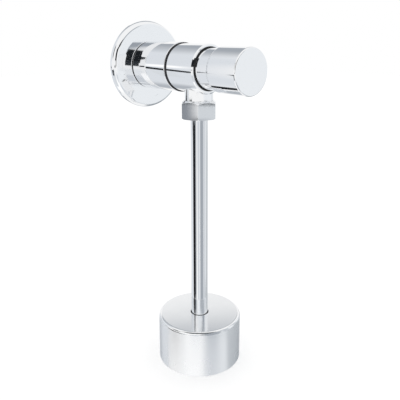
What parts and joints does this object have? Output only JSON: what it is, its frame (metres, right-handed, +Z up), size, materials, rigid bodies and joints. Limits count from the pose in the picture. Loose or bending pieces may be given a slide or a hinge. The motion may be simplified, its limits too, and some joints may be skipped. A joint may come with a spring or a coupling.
{
  "type": "urinal flush valve",
  "caption": "Wall-mounted self-closing urinal flush valve with a push button, a straight flush tube and a sliding bell over the urinal inlet.",
  "frame": {"origin": "on the wall plane, where the inlet's axis meets the back of the wall flange", "axes": "+Y along the inlet into the wall, the valve points into the room along -Y, +Z up, the flush tube hangs along -Z"},
  "size_m": [0.0786, 0.145, 0.3048],
  "materials": {
    "polished_chrome": "mirror-polished chrome plate on brass",
    "satin_chrome": "satin chrome plate on brass",
    "brass": "turned brass",
    "stainless": "stainless steel",
    "black_rubber": "matt black rubber",
    "fibre": "red fibre washer"
  },
  "bodies": {
    "valve": {"wall_flange": "polished_chrome", "sleeve": "polished_chrome", "sleeve_ring": "black_rubber", "inlet_nipple": "brass", "inlet_gasket": "fibre", "inlet_strainer": "stainless", "valve_body": "polished_chrome", "seat_ring": "stainless", "cartridge_housing": "brass", "body_oring": "black_rubber", "spindle_oring": "black_rubber", "gland_washer": "brass", "cylinder_cap": "brass", "guide_bush": "brass", "return_spring": "stainless", "outlet_gasket": "black_rubber", "coupling_nut": "polished_chrome", "tube_collar": "brass", "flush_tube": "polished_chrome", "spud_seal": "black_rubber"},
    "button": {"button_cap": "polished_chrome", "button_insert": "brass", "spindle": "stainless", "piston": "brass", "piston_seal": "black_rubber", "piston_clip": "stainless", "valve_disc": "brass", "valve_washer": "black_rubber", "lock_nut": "stainless"},
    "bell": {"bell_cover": "satin_chrome", "grip_ring": "black_rubber"}
  },
  "joints": [
    {"name": "button_press", "type": "slide", "parent": "valve", "child": "button", "axis": [0, 1, 0], "range_m": [0, 0.007], "stiffness_N_per_m": 600, "springref_m": -0.02, "deforming": ["return_spring"]},
    {"name": "bell_lift", "type": "slide", "parent": "valve", "child": "bell", "axis": [0, 0, 1], "range_m": [0, 0.18]}
  ]
}
